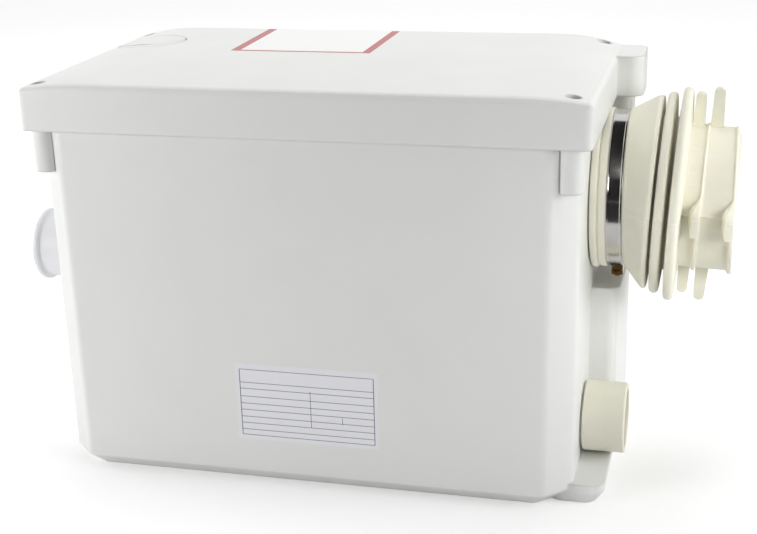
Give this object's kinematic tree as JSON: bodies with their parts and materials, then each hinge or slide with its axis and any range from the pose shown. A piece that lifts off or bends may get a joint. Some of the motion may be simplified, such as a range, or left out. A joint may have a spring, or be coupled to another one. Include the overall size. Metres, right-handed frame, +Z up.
{
  "type": "sewage lifting station",
  "caption": "Floor-standing macerator tank with a crowned lid, a pleated rubber toilet sleeve with a band clamp, two small side inlets and a sealed pump inside.",
  "frame": {"origin": "middle of the tank's footprint on the floor", "axes": "+X towards the toilet sleeve, +Y to the back with the discharge spout, +Z up"},
  "size_m": [0.6026, 0.3059, 0.345],
  "materials": {
    "white_pp": "moulded white polypropylene, soft gloss",
    "cap_plastic": "moulded white plastic, soft gloss",
    "cream_rubber": "cream rubber, satin",
    "black_rubber": "black rubber, matt",
    "stainless": "polished stainless strip",
    "brass": "yellow passivated",
    "carbon": "carbon felt",
    "grey_plastic": "moulded grey plastic",
    "black_plastic": "moulded black plastic",
    "white_nylon": "moulded nylon",
    "ceramic": "lapped face",
    "steel_core": "laminated steel, varnished",
    "copper": "enamelled copper",
    "aluminium": "drawn can"
  },
  "bodies": {
    "station": {"tank": "white_pp", "lid": "white_pp", "lid_seal": "black_rubber", "lid_screws": "stainless", "vent_cap": "white_pp", "vent_filter": "carbon", "wc_sleeve": "cream_rubber", "clamp_band": "stainless", "clamp_housing": "stainless", "side_inlet_cap": "cap_plastic", "lower_inlet_sleeve": "cream_rubber", "inlet_flap_pin": "stainless", "pump_volute": "grey_plastic", "suction_cover": "grey_plastic", "rubber_mounts": "black_rubber", "macerator_screen": "stainless", "shaft_seal": "ceramic", "motor_housing": "grey_plastic", "lower_bearing": "stainless", "upper_bearing": "stainless", "stator_core": "steel_core", "stator_windings": "copper", "motor_cover": "grey_plastic", "electrics_box": "grey_plastic", "electrics_lid": "grey_plastic", "run_capacitor": "aluminium", "terminal_block": "white_nylon", "discharge_elbow": "grey_plastic", "check_valve_body": "grey_plastic", "check_flap_pin": "stainless", "discharge_riser": "grey_plastic", "discharge_spout": "grey_plastic", "air_bell": "grey_plastic", "switch_housing": "grey_plastic", "microswitch": "black_plastic", "cable_gland": "black_plastic"},
    "rotor": {"rotor_shaft": "stainless", "rotor_core": "steel_core", "impeller": "grey_plastic", "cutter": "stainless", "shaft_spacer": "brass"},
    "clamp_screw": {"clamp_screw": "brass"},
    "inlet_flap": {"inlet_flap": "black_rubber"},
    "check_flap": {"check_flap": "black_rubber"},
    "diaphragm": {"switch_diaphragm": "black_rubber"},
    "switch_button": {"switch_button": "white_nylon"}
  },
  "joints": [
    {"name": "rotor_spin", "type": "hinge", "parent": "station", "child": "rotor", "pos_m": [-0.04, 0.008, 0.15], "axis": [0, 0, 1], "continuous": true},
    {"name": "clamp_screw_turn", "type": "hinge", "parent": "station", "child": "clamp_screw", "pos_m": [0.24175, 0.015, 0.16585], "axis": [0, 1, 0], "continuous": true},
    {"name": "inlet_flap_swing", "type": "hinge", "parent": "station", "child": "inlet_flap", "pos_m": [0.2111, -0.036, 0.076], "axis": [0, 1, 0], "range_deg": [0, 65]},
    {"name": "check_flap_swing", "type": "hinge", "parent": "station", "child": "check_flap", "pos_m": [-0.077, 0.1085, 0.1273], "axis": [-1, 0, 0], "range_deg": [0, 65]},
    {"name": "diaphragm_lift", "type": "slide", "parent": "station", "child": "diaphragm", "axis": [0, 0, 1], "range_m": [0, 0.003], "stiffness_N_per_m": 60},
    {"name": "switch_button_press", "type": "slide", "parent": "station", "child": "switch_button", "axis": [0, 0, 1], "range_m": [0, 0.003]}
  ],
  "couplings": [
    {"joint": "switch_button_press", "follows": "diaphragm_lift", "ratio": 1}
  ]
}
